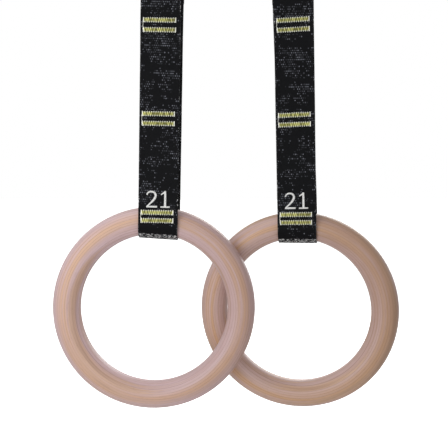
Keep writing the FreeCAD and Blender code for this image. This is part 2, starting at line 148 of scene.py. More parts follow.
# ---- what only the looks need -------------------------------------------------------------------
RIB_PITCH = 0.00127         # weft ribs of the webbing
RIB_HEIGHT = 0.00006
RIB_END = 0.0003            # the ribs stop this far from each edge
ROWS_PER_RIB = 4
WARP_PITCH = 0.00105        # warp yarns across it
SURFACE = HALF_THICK + 0.00008
SELVEDGE = (                # rolled edge of the webbing: distance in from the edge, half thickness
    (0.0, 0.0), (0.00015, 0.00062), (0.00070, 0.00098), (0.00160, 0.00094), (0.0024, 0.00084),
    (0.0095, 0.00089),
)
SIDE_WAVE = 0.00012         # how far the webbing wanders sideways
WIDTH_WAVE = 0.004          # share of its width that it varies by
EDGE_WEAR = 0.0020          # width of the worn strip along each edge
EDGE_WEAR_FADE = 0.0012
CHAFE_START = 0.0118        # depths under the loop's centre at which the chafed band fades in and ends
CHAFE_FADE_IN = 0.0020
CHAFE_END = 0.0186
CHAFE_FADE_OUT = 0.0008

HAND_TURNED = 0.006         # share of the grip's radius that it varies by
RING_STEPS = 288            # round the ring
GRIP_STEPS = 56             # round its grip
SPRING_STEPS = 160
LEG_STEPS = 8

THREAD = 0.00030            # radius of the sewing thread
SINK = 0.00015              # of a stitch into the cloth
FILL_PITCH = 0.00075
FILL_CROWN = 0.00016        # how far a strand rises in its middle
FILL_REACH = 0.72           # of half the bar's height, and how much it varies
FILL_RAGGED = 0.12
FILL_TONE = 4.0             # keeps the light ends of a filling strand short
FILL_SHADED_PICK = 0.42            # keeps filling strands in the thread's dark middle colour: painted shade between the zigzag stitches
ZIGZAG_PITCH = 0.00125
ZIGZAG_CROWN = 0.00050
ZIGZAG_TONE = 0.85
SHADED_STITCH_SHARE = 0.38           # of the zigzag stitches painted in the dark middle colour: painted shade
END_THREADS = 3             # straight threads across each end of a bar
END_PITCH = 0.00032
END_CROWN = 0.0003
SATIN_PITCH = 0.00046
SATIN_SLANT = 0.00012
SATIN_CROWN = 0.0003
STROKES = (                 # foot of the 2, then stem, flag and foot of the 1: its two ends in (x, z)
                            # with z from the number's base, and its widths from end to end
    (((-0.0130, 0.0010), (-0.0014, 0.0010)), (0.0018, 0.0019, 0.0019, 0.0020)),
    (((0.0080, NUMBER_HEIGHT), (0.0080, 0.0008)), (0.0019, 0.0024, 0.0024, 0.0024)),
    (((0.0034, NUMBER_HEIGHT - 0.0038), (0.0076, NUMBER_HEIGHT - 0.0011)), (0.0010, 0.0015, 0.0020)),
    (((0.0030, 0.0008), (0.0130, 0.0008)), (0.0014, 0.0016, 0.0016, 0.0014)),
)
BOWL_WIDTHS = (0.0014, 0.0016, 0.0018, 0.0024, 0.0025, 0.0021, 0.0016, 0.0014)
RUNNING_STITCH = 0.0034
RUNNING_GAP = 0.0008
RUNNING_THREAD = 0.00036
RUNNING_CROWN = 0.00030
RUNNING_SINK = 0.00012
SEAM_INSET = 0.003          # of the box stitching from the seam's ends, and of a hem's line from the edge
SEAM_EDGE = 0.004           # of the box stitching from the webbing's edge
HEM_LINES = (0.003, 0.007)  # from the hem's upper end

SEEDS = {"front": 0, "back": 500, "number": 900, "seam": 1300, "hem": 1700}

PLY_THICK = 0.0029
TAN_RADIUS = 0.1045         # the browner plies in the middle of the wood
TAN_HALF = 0.003            # their half depth
TAN_FADED = 0.009           # where they have faded out
WOOD_STREAKS = (
    (0.20, (0.430, 0.272, 0.190)),
    (0.34, (0.550, 0.365, 0.258)),
    (0.42, (0.530, 0.370, 0.332)),
    (0.53, (0.590, 0.435, 0.428)),
    (0.64, (0.550, 0.385, 0.345)),
    (0.80, (0.505, 0.330, 0.225)),
)
TAN_PLY = (0.585, 0.368, 0.235)
GLUE_LINE = (0.330, 0.200, 0.155)
PORE = (0.280, 0.160, 0.110)
SHADED_SIDE = (0.360, 0.210, 0.140)       # painted shade: colour of a ring's darker side, away from the key light

# painted shade: the webbing is darker in the gaps between its yarns than on their tops
YARN_GAP_SHADE = (0.0012, 0.0013, 0.0016)
YARN_TOP = (0.0040, 0.0042, 0.0052)
FIBRE = (0.010, 0.0105, 0.013)
# painted glint: colour of light dots where the weave catches the light
GLINT = (0.24, 0.25, 0.29)
FRAYED = (0.80, 0.80, 0.80)

FLOOR_HALF = 12.0           # half its side
FLOOR_DROP = 0.075          # of the floor under the rings
LIGHTS = {                  # place, aim (None for the middle of the object), size, power
    "key": ((-0.33, -0.46, -0.36), (-0.06, 0.0, -0.42), 0.4, 1.30),
    "fill": ((0.06, -0.86, -0.44), (0.0, 0.0, -0.46), 0.4, 0.8),
    "back": ((0.45, 0.95, 0.0), None, 0.8, 6.5),
    "top": ((-0.5, -0.2, 0.7), None, 0.7, 4.5),
}
WORLD_LIGHT = 0.33


# ---- meshes -------------------------------------------------------------------------------------

def tube_faces(rows, around):
    """Faces of a closed tube whose points come in rows, with a cap at each end."""
    faces = []
    for i in range(rows - 1):
        for j in range(around):
            k = (j + 1) % around
            faces.append((i * around + j, i * around + k, (i + 1) * around + k, (i + 1) * around + j))
    faces.append(tuple(range(around))[::-1])
    faces.append(tuple((rows - 1) * around + j for j in range(around)))
    return faces


class Builder:
    """Collects points, faces and per-point values of one mesh."""

    def __init__(self):
        self.points = []
        self.faces = []
        self.values = {}

    def add(self, points, faces, **values):
        base = sum(len(p) for p in self.points)
        points = np.asarray(points, float).reshape(-1, 3)
        self.points.append(points)
        self.faces.extend(tuple(int(i) + base for i in face) for face in faces)
        for key, value in values.items():
            spread = np.broadcast_to(value, (len(points),)).astype(float)
            self.values.setdefault(key, []).append(spread)

    def tube(self, line, radius, up, sides=6, **values):
        """A round thread along a line, on a surface whose normal is up."""
        line = np.asarray(line, float)
        way = np.gradient(line, axis=0)
        way /= np.linalg.norm(way, axis=1)[:, None]
        side = np.cross(way, np.broadcast_to(np.asarray(up, float), line.shape))
        side /= np.linalg.norm(side, axis=1)[:, None]
        over = np.cross(side, way)
        radius = np.broadcast_to(radius, (len(line),))
        turns = np.arange(sides) * 2 * math.pi / sides
        rings = (line[:, None, :]
                 + side[:, None, :] * (np.cos(turns)[None, :, None] * radius[:, None, None])
                 + over[:, None, :] * (np.sin(turns)[None, :, None] * radius[:, None, None]))
        faces = tube_faces(len(line), sides)
        spread = {k: np.repeat(np.broadcast_to(v, (len(line),)), sides) for k, v in values.items()}
        self.add(rings.reshape(-1, 3), faces, **spread)

    def make(self, name, material, matrix=None):
        mesh = bpy.data.meshes.new(name)
        mesh.from_pydata(np.vstack(self.points).tolist(), [], self.faces)
        for key, parts in self.values.items():
            attribute = mesh.attributes.new(key, "FLOAT", "POINT")
            attribute.data.foreach_set("value", np.concatenate(parts).astype(np.float32))
        mesh.polygons.foreach_set("use_smooth", [True] * len(mesh.polygons))
        mesh.materials.append(material)
        mesh.update()
        obj = bpy.data.objects.new(name, mesh)
        bpy.context.scene.collection.objects.link(obj)
        if matrix is not None:
            obj.matrix_world = matrix
        return obj


# ---- materials ----------------------------------------------------------------------------------

class Graph:
    """A material's nodes, built up as expressions that end in the Principled shader."""

    def __init__(self, name):
        self.material = bpy.data.materials.new(name)
        self.material.use_nodes = True
        self.tree = self.material.node_tree
        self.shader = self.tree.nodes["Principled BSDF"]

    def node(self, kind, **settings):
        made = self.tree.nodes.new("ShaderNode" + kind)
        for key, value in settings.items():
            setattr(made, key, value)
        return made

    def put(self, socket, value):
        if isinstance(value, bpy.types.NodeSocket):
            self.tree.links.new(value, socket)
        else:
            socket.default_value = value

    def math(self, operation, *values, clamp=False):
        made = self.node("Math", operation=operation, use_clamp=clamp)
        for socket, value in zip(made.inputs, values):
            self.put(socket, value)
        return made.outputs[0]

    def add(self, a, b):
        return self.math("ADD", a, b)

    def times(self, a, b):
        return self.math("MULTIPLY", a, b)

    def flipped(self, value):
        """1 less the value, kept between 0 and 1."""
        return self.math("SUBTRACT", 1.0, value, clamp=True)

    def attribute(self, name):
        return self.node("Attribute", attribute_name=name).outputs["Fac"]

    def place(self):
        return self.node("TexCoord").outputs["Object"]

    def split(self, vector):
        made = self.node("SeparateXYZ")
        self.put(made.inputs[0], vector)
        return made.outputs

    def join(self, x, y, z):
        made = self.node("CombineXYZ")
        for socket, value in zip(made.inputs, (x, y, z)):
            self.put(socket, value)
        return made.outputs[0]

    def noise(self, vector, scale, detail, rough, w=None):
        made = self.node("TexNoise", noise_dimensions="3D" if w is None else "4D")
        self.put(made.inputs["Vector"], vector)
        self.put(made.inputs["Scale"], scale)
        self.put(made.inputs["Detail"], detail)
        self.put(made.inputs["Roughness"], rough)
        if w is not None:
            self.put(made.inputs["W"], w)
        return made.outputs["Fac"]

    def random_value(self, vector):
        """A different value from 0 to 1 for each vector."""
        made = self.node("TexWhiteNoise", noise_dimensions="3D")
        self.put(made.inputs["Vector"], vector)
        return made.outputs["Value"]

    def ramp(self, fac, *stops):
        made = self.node("ValToRGB")
        elements = made.color_ramp.elements
        while len(elements) < len(stops):
            elements.new(0.5)
        for element, (position, colour) in zip(elements, stops):
            element.position = position
            element.color = (*colour, 1)
        self.put(made.inputs[0], fac)
        return made.outputs["Color"]

    def level(self, fac, low, high):
        """0 below low, 1 above high, straight between."""
        made = self.node("MapRange")
        self.put(made.inputs["Value"], fac)
        made.inputs["From Min"].default_value = low
        made.inputs["From Max"].default_value = high
        return made.outputs["Result"]

    def mix(self, fac, a, b, kind="MIX"):
        made = self.node("Mix", data_type="RGBA", blend_type=kind)
        self.put(made.inputs["Factor"], fac)
        self.put(made.inputs["A"], a if isinstance(a, bpy.types.NodeSocket) else (*a, 1))
        self.put(made.inputs["B"], b if isinstance(b, bpy.types.NodeSocket) else (*b, 1))
        return made.outputs["Result"]

    def bump(self, height, distance, strength):
        made = self.node("Bump")
        made.inputs["Strength"].default_value = strength
        made.inputs["Distance"].default_value = distance
        self.put(made.inputs["Height"], height)
        return made.outputs["Normal"]

    def finish(self, colour, roughness, normal=None, **plain):
        self.put(self.shader.inputs["Base Color"], colour)
        self.put(self.shader.inputs["Roughness"], roughness)
        if normal is not None:
            self.put(self.shader.inputs["Normal"], normal)
        for key, value in plain.items():
            self.shader.inputs[key.replace("_", " ")].default_value = value
        return self.material


def wood_material(name, offset, shade, shaded_side):
    """Bent laminations: streaks follow the ring, in its own frame with Y out of its plane."""
    g = Graph(name)
    x, y, z = g.split(g.place())
    radius = g.math("SQRT", g.add(g.times(x, x), g.times(z, z)))

    def drawn_out(along, through, detail, rough):
        """Noise stretched along the ring: cells per metre along it, and through its section."""
        way = g.join(g.add(g.times(x, along), offset), g.times(y, through), g.times(z, along))
        return g.noise(way, 1.0, detail, rough, w=g.times(radius, through))

    broad = drawn_out(4.0, 62.0, 1.0, 0.5)
    bands = drawn_out(8.0, 250.0, 2.5, 0.55)
    fine = drawn_out(22.0, 900.0, 3.0, 0.6)
    pores = drawn_out(150.0, 2600.0, 1.0, 0.5)

    streak = g.add(g.times(broad, 1.15), g.add(g.times(bands, 0.70), g.times(fine, 0.20)))
    colour = g.ramp(g.math("SUBTRACT", streak, 0.525), *WOOD_STREAKS)

    off_middle = g.math("ABSOLUTE", g.math("SUBTRACT", radius, TAN_RADIUS))
    tan_plies = g.flipped(g.level(off_middle, TAN_HALF, TAN_FADED))
    colour = g.mix(g.times(tan_plies, g.level(bands, 0.34, 0.58)), colour, TAN_PLY)

    ply = g.math("FRACT", g.add(g.times(radius, 1 / PLY_THICK), g.times(broad, 1.2)))
    glue = g.flipped(g.level(g.math("ABSOLUTE", g.math("SUBTRACT", ply, 0.5)), 0.0, 0.09))
    colour = g.mix(g.times(glue, g.level(bands, 0.36, 0.56)), colour, GLUE_LINE)

    dark_pores = g.flipped(g.level(pores, 0.30, 0.40))
    colour = g.mix(g.times(dark_pores, 0.25), colour, PORE)

    # Painted shade: the colour darkens towards the side of the ring away from the key light.
    across, up, depth = shaded_side
    toward_shaded_side = g.level(g.add(g.times(x, across), g.times(z, up)), 0.0, RING_RADIUS)
    colour = g.mix(g.times(toward_shaded_side, depth), colour, SHADED_SIDE)
    # Partly painted light and shade: the multiplier lightens the left ring and darkens the right one as the
    # key light falls off, besides tinting each ring.
    colour = g.mix(1.0, colour, shade, "MULTIPLY")

    rough = g.add(0.38, g.times(fine, 0.16))
    height = g.add(g.times(fine, 0.6), g.times(pores, 0.4))
    return g.finish(colour, rough, g.bump(height, 0.00010, 0.3),
                    Coat_Weight=0.30, Coat_Roughness=0.35, Specular_IOR_Level=0.35)


def dot(g, column, row, sharp):
    """1 in the middle of each cell of a grid, falling to 0 round it."""
    fx = g.math("SUBTRACT", g.math("FRACT", column), 0.5)
    fz = g.math("SUBTRACT", g.math("FRACT", row), 0.5)
    away = g.add(g.times(fx, fx), g.times(fz, fz))
    return g.flipped(g.times(sharp, away))


def webbing_material():
    """Black woven tape. along and across are metres on the tape, wear is 0 to 1."""
    g = Graph("webbing_black")
    along = g.attribute("along")
    across = g.attribute("across")
    wear = g.attribute("wear")

    def on_tape(across_scale, along_scale, plane):
        return g.join(g.times(across, across_scale), g.times(along, along_scale), plane)

    def column(row, per_metre, clear):
        """Column across the tape, each row half a column off the last. clear keeps it above 0."""
        offset = g.times(g.math("MODULO", g.math("FLOOR", row), 2.0), 0.5)
        return g.add(g.times(across, per_metre), g.add(offset, clear))

    rib = g.times(along, 1 / RIB_PITCH)
    yarn = dot(g, column(rib, 1 / WARP_PITCH, 100.0), rib, 3.4)
    fibre = g.noise(on_tape(1000.0, 1000.0, 0.0), 2.6, 2.0, 0.6)

    # Painted glints: light dots on the yarns where the weave catches the light, in patches, with more of them
    # where the tape is worn.
    pick_row = g.times(rib, 0.5)
    pick_column = column(pick_row, 0.5 / WARP_PITCH, 50.0)

    def of_pick(plane):
        return g.random_value(g.join(g.math("FLOOR", pick_column), g.math("FLOOR", pick_row), plane))

    patch = g.noise(on_tape(1000.0, 2200.0, 7.0), 0.045, 3.0, 0.6)
    share = g.add(g.times(g.level(patch, 0.44, 0.60), 0.80), g.times(wear, 0.25))
    glinting = g.math("LESS_THAN", of_pick(3.0), share)
    strength = of_pick(9.0)
    light = g.times(g.times(glinting, dot(g, pick_column, pick_row, 7.0)),
                    g.add(0.12, g.times(g.times(strength, strength), 0.88)))

    hair = g.noise(on_tape(330.0, 640.0, 4.0), 1.0, 2.0, 0.6)
    frayed = g.times(g.times(g.level(wear, 0.5, 1.0), g.level(yarn, 0.0, 0.4)), g.level(hair, 0.52, 0.57))

    # Painted shade: darker in the gaps between the yarns than on their tops.
    colour = g.mix(yarn, YARN_GAP_SHADE, YARN_TOP)
    colour = g.mix(g.times(fibre, 0.30), colour, FIBRE)
    colour = g.mix(light, colour, GLINT)
    colour = g.mix(g.times(frayed, 0.9), colour, FRAYED)
    height = g.add(yarn, g.times(fibre, 0.5))
    return g.finish(colour, g.add(0.55, g.times(fibre, 0.3)), g.bump(height, 0.00020, 0.8),
                    Specular_IOR_Level=0.10, Sheen_Weight=0.01, Sheen_Roughness=0.4)


def thread_material(name, middle, bright, ends):
    """Twisted thread. tone rises from 0 at a stitch's ends, and pick differs from stitch to stitch."""
    g = Graph(name)
    tone = g.attribute("tone")
    pick = g.attribute("pick")
    twist = g.noise(g.place(), 2600.0, 1.0, 0.5)
    body = g.mix(g.level(pick, 0.25, 0.75), middle, bright)
    # Painted shade: the thread darkens towards 0.45 of its middle colour where the twist noise is high, a
    # shadow of its twist.
    body = g.mix(g.times(g.level(twist, 0.35, 0.65), 0.35), body, tuple(c * 0.45 for c in middle))
    colour = g.mix(g.level(tone, 0.22, 0.72), ends, body)
    return g.finish(colour, 0.55, g.bump(twist, 0.00012, 0.6), Specular_IOR_Level=0.35,
                    Sheen_Weight=0.15, Sheen_Roughness=0.4)


def steel_material(name, base, rough, way, wear=0.5):
    """Plated steel: grain drawn out along one axis, the way (0 for X), and dulled patches."""
    g = Graph(name)
    scale = [900.0, 900.0, 900.0]
    scale[way] = 45.0
    drawn = g.join(*(g.times(c, s) for c, s in zip(g.split(g.place()), scale)))
    grain = g.noise(drawn, 1.0, 3.0, 0.6)
    patch = g.noise(g.place(), 95.0, 3.0, 0.55)
    colour = g.mix(g.times(g.level(patch, 0.42, 0.68), wear), base, tuple(c * 0.55 for c in base))
    colour = g.mix(g.times(grain, 0.18), colour, tuple(min(1.0, c * 1.25) for c in base))
    roughness = g.add(rough, g.times(g.add(grain, patch), 0.12))
    return g.finish(colour, roughness, g.bump(grain, 0.00006, 0.5), Metallic=1.0)


# ---- the strap's path ---------------------------------------------------------------------------

def turn(axis, degrees):
    return Matrix.Rotation(math.radians(degrees), 4, axis)


def shift(x, y, z):
    return Matrix.Translation((x, y, z))


class Section:
    """The webbing's middle, the way across it and the way out of its outer face."""

    def __init__(self, middle, across, out):
        self.middle = Vector(middle)
        self.across = Vector(across)
        self.out = Vector(out)

    def moved(self, matrix):
        turned = matrix.to_3x3()
        return Section(matrix @ self.middle, turned @ self.across, turned @ self.out)


def arc_section(cy, cz, radius, degrees, sign=1):
    """A section on an arc in the YZ plane. sign is -1 where the outer face is towards its centre."""
    a = math.radians(degrees)
    ray = Vector((0, math.cos(a), math.sin(a)))
    return Section(Vector((0, cy, cz)) + ray * radius, (1, 0, 0), ray * sign)


def arc(place, cy, cz, radius, start, end, sign=1):
    """A bent stretch as (length, function of 0 to 1)."""
    length = radius * math.radians(abs(end - start))
    return length, lambda t: arc_section(cy, cz, radius, start + (end - start) * t, sign).moved(place)


def straight(first, last):
    """A straight stretch between two sections, turning evenly from one to the other."""

    def at(t):
        across = first.across.lerp(last.across, t).normalized()
        out = first.out.lerp(last.out, t).normalized()
        return Section(first.middle.lerp(last.middle, t), across, out)

    return (last.middle - first.middle).length, at


def run_frame(lower, upper, height):
    """Frame on a run at a height: local Z up the run, X across it, Y to its back."""
    t = (height - lower.middle.z) / (upper.middle.z - lower.middle.z)
    up = (upper.middle - lower.middle).normalized()
    across = lower.across.lerp(upper.across, t).normalized()
    back = up.cross(across).normalized()
    across = back.cross(up)
    middle = lower.middle.lerp(upper.middle, t)
    return Matrix.Translation(middle) @ Matrix((across, back, up)).transposed().to_4x4()


class Strap:
    """One side's webbing, from the hem of its tail to the sewn anchor end."""

    def __init__(self, data):
        hang = data["hang"]
        self.data = data
        self.swing = turn("X", data["swing"])
        lean = math.degrees(math.asin((BAR_MID - LOOP_MID) / (hang + LOOP_DROP)))
        at_loop = shift(data["loop_x"], 0, -hang) @ turn("Z", data["yaw"]) @ turn("Y", data["roll"])
        at_bar = shift(data["bar_x"], 0, 0)
        self.at_loop = at_loop
        self.at_swing_loop = self.swing @ at_loop
        self.front_low = arc_section(0, -LOOP_DROP, LOOP_MID, 180 + lean).moved(at_loop)
        self.back_low = arc_section(0, -LOOP_DROP, LOOP_MID, -lean).moved(at_loop)
        self.front_high = self.flex_end(180 + lean, -1, at_bar)
        self.back_high = self.flex_end(-lean, 1, at_bar)
        self.at_buckle = run_frame(self.back_low, self.back_high, BUCKLE_HEIGHT)
        at_buckle = self.at_buckle
        fold_start = arc_section(FOLD_MID, 0, FOLD_MID, 180, -1).moved(at_buckle)
        fold_end = arc_section(FOLD_MID, 0, FOLD_MID, 0, -1).moved(at_buckle)
        hem_y = 2 * FOLD_MID + HALF_THICK
        tail_end = arc_section(hem_y, -TAIL_LENGTH, HALF_THICK, 180).moved(at_buckle)
        hem_start = arc_section(hem_y, -TAIL_LENGTH, HALF_THICK, 360).moved(at_buckle)
        hem_end = arc_section(hem_y, -TAIL_LENGTH + HEM_LENGTH, HALF_THICK, 360).moved(at_buckle)
        anchor_start = arc_section(ANCHOR_MID, ANCHOR_Z, ANCHOR_MID, 180, -1).moved(at_buckle)
        leave = arc_section(ANCHOR_MID, ANCHOR_Z, ANCHOR_MID, RETURN_LEAN, -1)
        self.seam_z = leave.middle.z + (leave.middle.y - STRAP_THICK) / math.tan(math.radians(RETURN_LEAN))
        seam_low, seam_high = (Section((0, STRAP_THICK, z), (1, 0, 0), (0, -1, 0)).moved(at_buckle)
                               for z in (self.seam_z, self.seam_z + SEAM_LENGTH))
        flex_front = arc_section(0, 0, BAR_MID, 180 + lean).moved(at_bar)
        flex_back = arc_section(0, 0, BAR_MID, -lean).moved(at_bar)
        self.stretches = [
            straight(hem_end, hem_start),
            arc(at_buckle, hem_y, -TAIL_LENGTH, HALF_THICK, 360, 180),
            straight(tail_end, fold_end),
            arc(at_buckle, FOLD_MID, 0, FOLD_MID, 0, 180, -1),
            straight(fold_start, self.back_low),
            arc(at_loop, 0, -LOOP_DROP, LOOP_MID, 360 - lean, 180 + lean),
            straight(self.front_low, self.front_high),
            straight(self.front_high, flex_front),
            arc(at_bar, 0, 0, BAR_MID, 180 + lean, -lean),
            straight(flex_back, self.back_high),
            straight(self.back_high, anchor_start),
            arc(at_buckle, ANCHOR_MID, ANCHOR_Z, ANCHOR_MID, 180, 360 + RETURN_LEAN, -1),
            straight(leave.moved(at_buckle), seam_low),
            straight(seam_low, seam_high),
        ]

    @staticmethod
    def flex_end(degrees, sign, at_bar):
        """Where a run meets its flexing stretch, on past the arc's end. sign is -1 in front."""
        section = arc_section(0, 0, BAR_MID, degrees)
        a = math.radians(degrees)
        section.middle += Vector((0, math.sin(a), -math.cos(a))) * FLEX_LENGTH * sign
        return section.moved(at_bar)

    def sections(self, step):
        """Evenly spaced sections along the whole strap, with their distance along it."""
        total = sum(length for length, _ in self.stretches)
        count = int(round(total / step))
        found = []
        start = 0.0
        stretches = iter(self.stretches)
        length, at = next(stretches)
        for i in range(count + 1):
            s = total * i / count
            while s > start + length + 1e-9:
                start += length
                length, at = next(stretches)
            t = min(1.0, (s - start) / length)
            found.append((s, at(t).moved(self.swing)))
        return found

    def rng(self, use):
        """Random draws of its own for each kind of sewing."""
        return np.random.default_rng(self.data["seed"] + SEEDS[use])

    def front_frame(self, height):
        """Frame on the front run at a height above the wood in the loop."""
        return self.swing @ run_frame(self.front_low, self.front_high, height - self.data["hang"])

    def back_frame(self, height):
        """The same on the back run."""
        return self.swing @ run_frame(self.back_low, self.back_high, height - self.data["hang"])


def webbing_profile():
    """Points round the webbing's section as (across, out), with a rolled selvedge at each edge."""
    half = [(HALF_WIDTH - inset, n) for inset, n in SELVEDGE]
    top = half + [(0.0, HALF_THICK)] + [(-x, n) for x, n in reversed(half)]
    return top + [(x, -n) for x, n in reversed(top[1:-1])]


def chafing(strap, section):
    """0 to 1, where the tape turns under the wood."""
    at = strap.at_swing_loop.inverted() @ section.middle
    if abs(at.x) >= HALF_WIDTH or abs(at.y) >= LOOP_MID + STRAP_THICK:
        return 0.0
    under = -at.z - LOOP_DROP
    fade_in = max(0.0, (under - CHAFE_START) / CHAFE_FADE_IN)
    fade_out = max(0.0, (CHAFE_END - under) / CHAFE_FADE_OUT)
    return min(1.0, fade_in, fade_out)


def make_webbing(name, strap, material):
    profile = webbing_profile()
    sections = strap.sections(RIB_PITCH / ROWS_PER_RIB)
    xs = np.array([p[0] for p in profile])
    ns = np.array([p[1] for p in profile])
    ribbed = np.sign(ns) * RIB_HEIGHT * (np.abs(xs) < HALF_WIDTH - RIB_END)
    edge = np.clip((np.abs(xs) - HALF_WIDTH + EDGE_WEAR) / EDGE_WEAR_FADE, 0, 1)
    seed = strap.data["seed"]
    points = []
    alongs = []
    wears = []
    for s, section in sections:
        n = ns + ribbed * math.sin(2 * math.pi * s / RIB_PITCH)
        x = xs * (1 + WIDTH_WAVE * noise.noise((seed, 5.0, s * 22.0)))
        x = x + SIDE_WAVE * noise.noise((seed, s * 14.0, 0.3))
        points.append(np.array(section.middle) + x[:, None] * np.array(section.across)
                      + n[:, None] * np.array(section.out))
        alongs.append(np.full(len(profile), s))
        worn = min(1.0, max(0.0, 0.5 + 0.9 * noise.noise((seed, 9.0, s * 60.0))))
        wears.append(np.maximum(edge * worn, chafing(strap, section)))
    builder = Builder()
    builder.add(np.vstack(points), tube_faces(len(sections), len(profile)), along=np.concatenate(alongs),
                across=np.tile(xs, len(sections)), wear=np.concatenate(wears))
    return builder.make(name, material)


# ---- stitches -----------------------------------------------------------------------------------

def stitch_strand(builder, a, b, pick, crown, radius, steps=6, tone=1.0):
    """One strand lying across a filled shape, from a to b in (x, z), raised in its middle."""
    t = np.linspace(0, 1, steps)
    lift = crown * np.sin(math.pi * t) ** 0.6
    x = a[0] + (b[0] - a[0]) * t
    z = a[1] + (b[1] - a[1]) * t
    line = np.stack([x, -SURFACE - lift + SINK, z], axis=1)
    builder.tube(line, radius, (0, -1, 0), tone=tone * np.sin(math.pi * t), pick=pick)


def mark_bar(builder, rng, z):
    """Close filling strands, an open zigzag sewn over them, and straight threads across each end."""
    reach = MARK_WIDTH / 2 - 2 * THREAD
    half = MARK_HEIGHT / 2 - THREAD / 2
    count = int(2 * reach / FILL_PITCH)
    for i in range(count + 1):
        x = -reach + i * 2 * reach / count
        lean = 0.0003 * (rng.random() - 0.5)
        low = half * (FILL_REACH + FILL_RAGGED * rng.random())
        high = half * (FILL_REACH + FILL_RAGGED * rng.random())
        stitch_strand(builder, (x - lean, z - low), (x + lean, z + high), FILL_SHADED_PICK * rng.random(),
                      FILL_CROWN, THREAD, tone=FILL_TONE)

    count = int(2 * reach / ZIGZAG_PITCH)
    step = 2 * reach / count
    for i in range(count):
        x = -reach + i * step
        foot, head = (x, x + step) if i % 2 else (x + step, x)
        low = half * (1.0 + 0.10 * (rng.random() - 0.5))
        high = half * (1.0 + 0.10 * (rng.random() - 0.5))
        pick = rng.random()
        # Painted shade: these stitches take the thread's dark middle colour.
        if pick <= SHADED_STITCH_SHARE:
            pick *= 0.5
        stitch_strand(builder, (foot, z - low), (head, z + high), pick, ZIGZAG_CROWN, THREAD * 1.2,
                      tone=ZIGZAG_TONE)

    for end in (-1, 1):
        for row in range(END_THREADS):
            x = end * (reach + END_PITCH * row)
            lean = 0.0002 * (rng.random() - 0.5)
            stitch_strand(builder, (x - lean, z - half * 1.04), (x + lean, z + half * 1.04),
                          rng.random(), END_CROWN, THREAD * 0.8, tone=0.0)


def move_last(builder, start, matrix):
    """Takes what was added since start from a local frame to the strap's place."""
    m = np.array(matrix, float)
    for i in range(start, len(builder.points)):
        builder.points[i] = builder.points[i] @ m[:3, :3].T + m[:3, 3]


def make_marks(name, strap, heights, on_front, material):
    """Pairs of bars at each height, with a thread carried from one bar to the other."""
    builder = Builder()
    rng = strap.rng("front" if on_front else "back")
    for i, height in enumerate(heights):
        low_pair = on_front and i == 0
        pitch = LOW_PAIR_PITCH if low_pair else PAIR_PITCH
        start = len(builder.points)
        for z in (-pitch / 2, pitch / 2):
            mark_bar(builder, rng, z)
        link_x = -MARK_WIDTH / 2 - 0.0004
        line = np.array([(link_x + 0.0003 * (k % 2), -SURFACE - 0.0002, z)
                         for k, z in enumerate(np.linspace(-pitch / 2, pitch / 2, 6))])
        builder.tube(line, THREAD * 0.8, (0, -1, 0), tone=0.0, pick=0.5)
        if on_front:
            tilt = turn("Y", -strap.data["mark_tilt"] * i / 2)
            place = strap.front_frame(height) @ tilt @ shift(MARK_SHIFT, 0, 0)
        else:
            place = strap.back_frame(height) @ turn("Z", 180) @ shift(MARK_SHIFT, 0, 0)
        move_last(builder, start, place)
    return builder.make(name, material)


def curve(points, counts):
    """Cubic curves end to end, meeting at every third point, with a count of points on each."""
    parts = []
    for i, count in enumerate(counts):
        p0, p1, p2, p3 = (np.array(p, float) for p in points[3 * i:3 * i + 4])
        t = np.linspace(0, 1, count)[:, None]
        part = (1 - t) ** 3 * p0 + 3 * t * (1 - t) ** 2 * p1 + 3 * t ** 2 * (1 - t) * p2 + t ** 3 * p3
        parts.append(part[1:] if i else part)
    return np.vstack(parts)


def satin(builder, rng, line, widths):
    """Satin stitch along a line of (x, z) points: strands lie across the stroke."""
    line = np.asarray(line, float)
    steps = np.linalg.norm(np.diff(line, axis=0), axis=1)
    s = np.concatenate([[0], np.cumsum(steps)])
    count = max(3, int(s[-1] / SATIN_PITCH))
    way = np.gradient(line, axis=0)
    for i in range(count + 1):
        at = s[-1] * i / count
        p = np.array([np.interp(at, s, line[:, k]) for k in (0, 1)])
        d = np.array([np.interp(at, s, way[:, k]) for k in (0, 1)])
        d /= np.linalg.norm(d)
        n = np.array([-d[1], d[0]])
        half = np.interp(at / s[-1], np.linspace(0, 1, len(widths)), widths) / 2
        ragged = 1 + 0.12 * (rng.random(2) - 0.5)
        a = p - n * half * ragged[0] - d * SATIN_SLANT
        b = p + n * half * ragged[1] + d * SATIN_SLANT
        stitch_strand(builder, a, b, rng.random(), SATIN_CROWN, THREAD, steps=5)


def make_number(name, strap, material):
    """21 in plain book numerals, embroidered."""
    builder = Builder()
    rng = strap.rng("number")
    base = -NUMBER_HEIGHT / 2
    top = NUMBER_HEIGHT / 2
    bowl = curve([
        (-0.0126, top - 0.0042),
        (-0.0118, top - 0.0006), (-0.0088, top - 0.0006), (-0.0074, top - 0.0006),
        (-0.0042, top - 0.0006), (-0.0028, top - 0.0029), (-0.0028, top - 0.0051),
        (-0.0028, top - 0.0084), (-0.0078, base + 0.0056), (-0.0122, base + 0.0016),
    ], (14, 14, 20))
    satin(builder, rng, bowl, BOWL_WIDTHS)
    for line, widths in STROKES:
        satin(builder, rng, [(x, base + z) for x, z in line], widths)
    move_last(builder, 0, strap.front_frame(strap.data["number_height"]))
    return builder.make(name, material)


